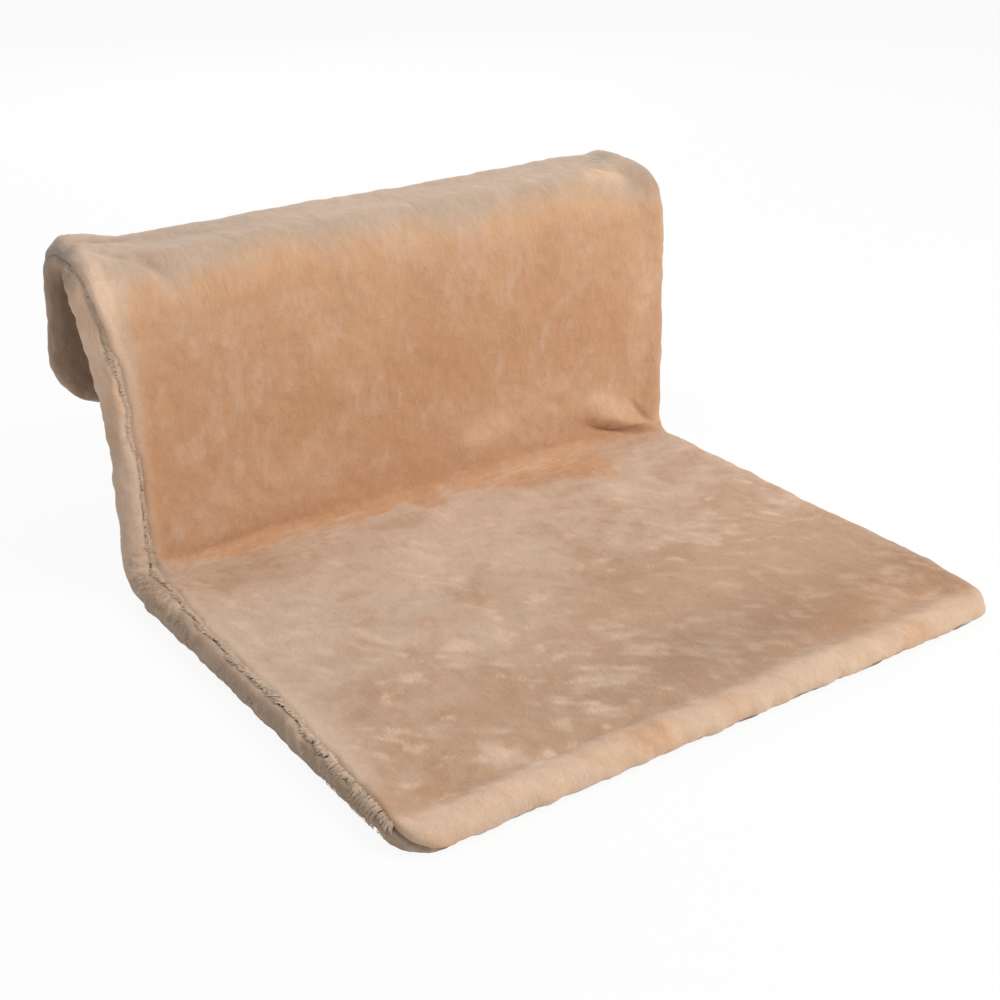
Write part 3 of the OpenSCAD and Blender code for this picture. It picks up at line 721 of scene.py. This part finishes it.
def tuft_band(rng, count, part, u_range, length, width, rise, tone):
    """Tapered tufts, combed outward: their points, outward directions, layout and colours."""
    at = rng.choice(len(RIM), count, p=part / part.sum())
    run = RIM_RUN[at] + rng.uniform(-0.0011, 0.0011, count)
    clump = 1 + 0.45 * layered(np.stack([run, 0 * run, 0 * run + TUFT_SEED], -1), 0.009, 83, 2)
    u0 = rng.uniform(*u_range, count) + np.interp(run, RIM_RUN, SEAM)
    long = length * rng.uniform(0.65, 1.25, count) * clump
    wide, up_by = width * rng.uniform(0.7, 1.3, count), rise * rng.uniform(0.4, 1.3, count) * clump
    lean, tuft_tone = rng.normal(0, 0.30, count) * length, rng.uniform(0.90, 1.10, count)
    made, facing, laid, lit = [], [], [], []
    for t in (0, 0.35, 0.7, 1.0):
        w = wide * (1 - t) ** 0.6 + TUFT_TIP
        for across, up in ((-1, 0), (1, 0), (0, 0.8)):
            r = np.clip(run + lean * t ** 1.5 + across * w, RIM_RUN[0], RIM_RUN[-1])
            rim, out = along_rim(r, RIM), along_rim(r, OUT)
            u = u0 - long * t
            d, h, nd, nh, share = section(u, bridge(*rim.T))
            lift = up_by * t ** 1.3 + up * w - 0.0003 * (1 - t) + np.interp(r, RIM_RUN, OUTWARD) * np.maximum(-nd, 0)
            foot, tip = (place(rim - out * (d + nd * v)[:, None], h + nh * v, share) for v in (lift, lift + 0.001))
            made.append(foot)
            facing.append(tip - foot)
            laid.append(rim - out * u[:, None])
            # Each tuft's own tone differs at random; painted shade darkens its root, and it is lighter toward the tip
            lit.append(tuft_tone * (0.88 + 0.20 * t))
    made, facing, laid, lit = (np.stack(v, 1).reshape(TUFT_POINTS * count, -1) for v in (made, facing, laid, lit))
    # The seam runs down the roll's side toward the front, which is in shade, so the tufts there are made paler with
    # painted light
    return made, facing, laid, tone * lit * (1 + 0.20 * (1 - step(laid[:, 1:], 0.06, 0.15)))


def rim_tufts():
    """All tufts as one object."""
    rng = np.random.default_rng(TUFT_SEED)
    points, normals, runs, colours = (np.concatenate(v) for v in zip(*(tuft_band(rng, *band) for band in TUFT_BANDS)))
    points[:, 2] = np.maximum(points[:, 2], 0.0002)
    base = np.arange(len(points) // TUFT_POINTS)[:, None] * TUFT_POINTS
    faces = [base + np.array([k * 3 + a, k * 3 + b, k * 3 + 3 + b, k * 3 + 3 + a])
             for k in range(3) for a, b in ((0, 1), (1, 2), (2, 0))]
    faces += [base + np.array([2, 1, 0]), base + np.array([9, 10, 11])]
    obj = make_mesh("seam_tufts", points, faces)
    colour_points(obj.data, colours, runs, 1)
    # Each tuft is shaded with the roll it stands on
    normals /= np.linalg.norm(normals, axis=1)[:, None]
    obj.data.normals_split_custom_set_from_vertices(normals.tolist())
    return obj


def springs():
    """Copies of the CAD's leaf springs behind the snap buttons, in place of its own; the real springs close as the
    buttons are pushed in.
    """
    for side in ("left", "right"):
        name = f"snap_spring_{side}"
        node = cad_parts[name]
        leaf = bpy.data.objects.new(f"leaf_{side}", node.data.copy())
        leaf.matrix_world = node.matrix_world
        bpy.context.scene.collection.objects.link(leaf)
        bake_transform(leaf)
        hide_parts(name)


def wear(obj, material, nodes):
    """Puts a piece of the cover on the frame, in place of the CAD's own layers."""
    obj.data.materials.append(material)
    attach(obj, BODY)
    if nodes:
        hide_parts(*nodes)


# ---- Materials

def adder(tree):
    """A helper that adds a node to the tree. Its inputs are values, or sockets to link from."""
    def add(kind, inputs=(), **settings):
        node = tree.nodes.new(kind)
        for key, value in settings.items():
            setattr(node, key, value)
        for key, value in dict(inputs).items():
            if isinstance(value, bpy.types.NodeSocket):
                tree.links.new(value, node.inputs[key])
            else:
                node.inputs[key].default_value = value
        return node
    return add


def new_material(name, roughness, metallic=0.0):
    """A material with its node tree, Principled shader and a helper that adds nodes."""
    mat = bpy.data.materials.new(name)
    mat.use_nodes = True
    tree = mat.node_tree
    shader = tree.nodes["Principled BSDF"]
    shader.inputs["Roughness"].default_value = roughness
    shader.inputs["Metallic"].default_value = metallic
    return mat, tree, shader, adder(tree)


def plush(name):
    """Pile coloured by the points' own colours, with clumps and fibres laid out with the cover."""
    mat, tree, shader, add = new_material(name, 0.92)
    shader.inputs["Specular IOR Level"].default_value = 0.15
    shader.inputs["Sheen Weight"].default_value = 0.35
    shader.inputs["Sheen Roughness"].default_value = 0.55
    shader.inputs["Sheen Tint"].default_value = (0.95, 0.88, 0.80, 1)
    colour = add("ShaderNodeAttribute", attribute_name="pile")
    laid = add("ShaderNodeAttribute", attribute_name="laid")
    at = add("ShaderNodeMapping", {"Vector": laid.outputs["Vector"], "Scale": (1.0, 0.6, 1.0)}).outputs[0]
    clumps = add("ShaderNodeTexNoise", {"Vector": at, "Scale": 230, "Detail": 4, "Roughness": 0.6, "Distortion": 0.6})
    fibres = add("ShaderNodeTexNoise", {"Vector": at, "Scale": 900, "Detail": 2, "Roughness": 0.6})
    both = add("ShaderNodeMath", {0: clumps.outputs["Fac"], 1: fibres.outputs["Fac"]}, operation="ADD")
    value = add("ShaderNodeMapRange", {"Value": both.outputs[0], "From Min": 0.7, "From Max": 1.3, "To Min": 0.93,
                                       "To Max": 1.06})
    tinted = add("ShaderNodeHueSaturation", {"Value": value.outputs[0], "Color": colour.outputs["Color"]})
    rough = add("ShaderNodeMapRange", {"Value": clumps.outputs["Fac"], "To Min": 0.82, "To Max": 1.0})
    coarse = add("ShaderNodeBump", {"Height": clumps.outputs["Fac"], "Strength": 0.5, "Distance": 0.0017})
    fine = add("ShaderNodeBump", {"Height": fibres.outputs["Fac"], "Strength": 0.3, "Distance": 0.0004,
                                  "Normal": coarse.outputs[0]})
    for node, socket in ((tinted, "Base Color"), (rough, "Roughness"), (fine, "Normal")):
        tree.links.new(node.outputs[0], shader.inputs[socket])
    return mat


def hard(name, colour, roughness, metallic, grain=60, depth=0.00005, spread_of_colour=0.08):
    """Metal or plastic with a fine grain and slightly uneven colour."""
    mat, tree, shader, add = new_material(name, roughness, metallic)
    at = add("ShaderNodeTexCoord").outputs["Object"]
    blotch = add("ShaderNodeTexNoise", {"Vector": at, "Scale": grain, "Detail": 5})
    ramp = add("ShaderNodeValToRGB", {"Fac": blotch.outputs["Fac"]})
    for point, share in zip(ramp.color_ramp.elements, (1 - spread_of_colour, 1 + spread_of_colour)):
        point.color = (*(np.clip(np.array(colour) * share, 0, 1)), 1)
    tree.links.new(ramp.outputs[0], shader.inputs["Base Color"])
    rough = add("ShaderNodeMapRange", {"Value": blotch.outputs["Fac"], "To Min": roughness * 0.8,
                                       "To Max": min(1, roughness * 1.25)})
    tree.links.new(rough.outputs[0], shader.inputs["Roughness"])
    scratch = add("ShaderNodeTexNoise", {"Vector": at, "Scale": grain * 20, "Detail": 3})
    bump = add("ShaderNodeBump", {"Height": scratch.outputs["Fac"], "Strength": 0.4, "Distance": depth})
    tree.links.new(bump.outputs[0], shader.inputs["Normal"])
    return mat


def woven(name, colour):
    """Zip tape: a fine twill."""
    mat, tree, shader, add = new_material(name, 0.85)
    shader.inputs["Sheen Weight"].default_value = 0.2
    at = add("ShaderNodeTexCoord").outputs["Object"]
    threads = [add("ShaderNodeTexWave", {"Vector": at, "Scale": 420, "Distortion": 0.4}, bands_direction=way)
               for way in "XZ"]
    cross = add("ShaderNodeMath", {n: thread.outputs["Fac"] for n, thread in enumerate(threads)}, operation="MULTIPLY")
    ramp = add("ShaderNodeValToRGB", {"Fac": cross.outputs[0]})
    ramp.color_ramp.elements[0].color = (*(np.array(colour) * 0.7), 1)
    ramp.color_ramp.elements[1].color = (*(np.array(colour) * 1.15), 1)
    tree.links.new(ramp.outputs[0], shader.inputs["Base Color"])
    bump = add("ShaderNodeBump", {"Height": cross.outputs[0], "Strength": 0.6, "Distance": 0.0002})
    tree.links.new(bump.outputs[0], shader.inputs["Normal"])
    return mat


def finish_nodes():
    """The frame's and the zip's own finishes."""
    coat = hard("powder_coat", srgb(228, 226, 220), 0.42, 0.0, grain=45, depth=0.0001, spread_of_colour=0.03)
    steel = hard("bright_steel", srgb(196, 196, 198), 0.30, 1.0, grain=90)
    zinc = hard("zinc_plate", srgb(186, 187, 184), 0.38, 1.0, grain=120)
    black = hard("black_plastic", srgb(42, 42, 43), 0.55, 0.0, grain=80, depth=0.0001)
    brass = hard("antique_brass", srgb(170, 138, 88), 0.34, 1.0, grain=150, spread_of_colour=0.2)
    nylon = hard("nylon_coil", srgb(150, 122, 98), 0.45, 0.0, grain=200)
    tape = woven("zip_tape_weave", srgb(172, 142, 116))
    for material, names in (
        (coat, ("seat_frame", "hook_frame", "crease_bar")),
        (steel, ("snap_button_left", "snap_button_right", "snap_spring_left", "snap_spring_right")),
        (zinc, ("bar_inserts", "bar_screws")),
        (black, ("bar_saddles",)),
        (brass, ("zip_slider", "zip_pull", "zip_stops")),
        (nylon, ("zip_coil_upper", "zip_coil_lower")),
        (tape, ("zip_tape_upper", "zip_tape_lower")),
    ):
        for name in names:
            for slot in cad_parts[name].material_slots:
                slot.material = material


# ---- Camera, light and floor

CAMERA_AT = Vector((-0.576527, -0.798853, 0.526035))
CAMERA_YAW, CAMERA_PITCH, CAMERA_ROLL = 0.615379, 0.444677, 0.005403
LENS = 58.486


def camera():
    """The photograph's own view."""
    cp, sp = math.cos(CAMERA_PITCH), math.sin(CAMERA_PITCH)
    ahead = Vector((math.sin(CAMERA_YAW) * cp, math.cos(CAMERA_YAW) * cp, -sp))
    right = Vector((math.cos(CAMERA_YAW), -math.sin(CAMERA_YAW), 0))
    up = right.cross(ahead)
    data = bpy.data.cameras.new("camera")
    data.lens, data.sensor_width = LENS, 36
    data.clip_start, data.clip_end = 0.05, 30
    cam = bpy.data.objects.new("camera", data)
    axes = Matrix((right, up, -ahead)).transposed()
    cam.matrix_world = (Matrix.Translation(CAMERA_AT) @ axes.to_4x4() @ Matrix.Rotation(CAMERA_ROLL, 4, "Z"))
    bpy.context.scene.collection.objects.link(cam)
    bpy.context.scene.camera = cam


def lamp(name, at, target, size, watts, colour=(1, 1, 1)):
    """A square soft light that points at its target."""
    data = bpy.data.lights.new(name, "AREA")
    data.shape, data.size, data.energy, data.color = "SQUARE", size, watts, colour
    obj = bpy.data.objects.new(name, data)
    obj.location = at
    obj.rotation_euler = (Vector(target) - Vector(at)).to_track_quat("-Z", "Y").to_euler()
    bpy.context.scene.collection.objects.link(obj)


def white_to_camera(add, lit, white):
    """Camera, mirror and glass rays see white, and everything else sees the lit colour."""
    rays = add("ShaderNodeLightPath").outputs
    direct = add("ShaderNodeMath", {0: rays["Is Camera Ray"], 1: rays["Is Glossy Ray"]}, operation="MAXIMUM")
    seen = add("ShaderNodeMath", {0: direct.outputs[0], 1: rays["Is Transmission Ray"]}, operation="MAXIMUM")
    return add("ShaderNodeMixShader", {0: seen.outputs[0], 1: lit.outputs[0], 2: white.outputs[0]}).outputs[0]


def sky():
    """Soft light from all sides, in front of a white ground."""
    world = bpy.data.worlds.new("studio")
    bpy.context.scene.world = world
    world.use_nodes = True
    tree = world.node_tree
    add = adder(tree)
    soft = tree.nodes["Background"]
    soft.inputs["Color"].default_value = (1, 0.985, 0.97, 1)
    soft.inputs["Strength"].default_value = 0.34
    white = add("ShaderNodeBackground", {"Color": (1, 1, 1, 1), "Strength": 1.0})
    tree.links.new(white_to_camera(add, soft, white), tree.nodes["World Output"].inputs[0])


def floor():
    """A white floor just under the bed that takes a faint shadow."""
    mesh = bpy.data.meshes.new("floor")
    half = 6.0
    mesh.from_pydata([(-half, -half, 0), (half, -half, 0), (half, half, 0), (-half, half, 0)], [], [(0, 1, 2, 3)])
    obj = bpy.data.objects.new("floor", mesh)
    obj.location.z = -0.0005
    bpy.context.scene.collection.objects.link(obj)
    mat, tree, lit, add = new_material("floor", 0.9)
    lit.inputs["Base Color"].default_value = (0.86, 0.855, 0.85, 1)
    glow = add("ShaderNodeEmission", {"Strength": 1.0})
    pale = add("ShaderNodeMixShader", {0: 0.92, 1: lit.outputs[0], 2: glow.outputs[0]})
    tree.links.new(white_to_camera(add, lit, pale), tree.nodes["Material Output"].inputs[0])
    mesh.materials.append(mat)


WARM = (1, 0.985, 0.965)


def studio():
    sky()
    lamp("key", (0.9, -1.3, 1.5), (0, 0, 0.05), 1.1, 30, WARM)
    lamp("top", (-0.1, 0.1, 1.9), (0, 0, 0.05), 1.4, 7.2)
    lamp("back", (0.7, 1.6, 1.0), (0, 0, 0.1), 1.2, 11, WARM)
    floor()


camera()
studio()
finish_nodes()
springs()
pile = plush("plush_pile")
front = dress("plush_front", 1)
wear(front, pile, ["cover_front"])
lining = dress("plush_lining", -1)
underside = cut_at_zip(lining, "plush_underside", False)
rear = cut_at_zip(lining, "plush_rear", True)
bpy.data.objects.remove(lining)
wear(underside, pile, ["cover_underside"])
wear(rear, pile, ["cover_rear"])
fringe = rim_tufts()
wear(fringe, pile, [])
bpy.context.scene.view_settings.view_transform = "Standard"
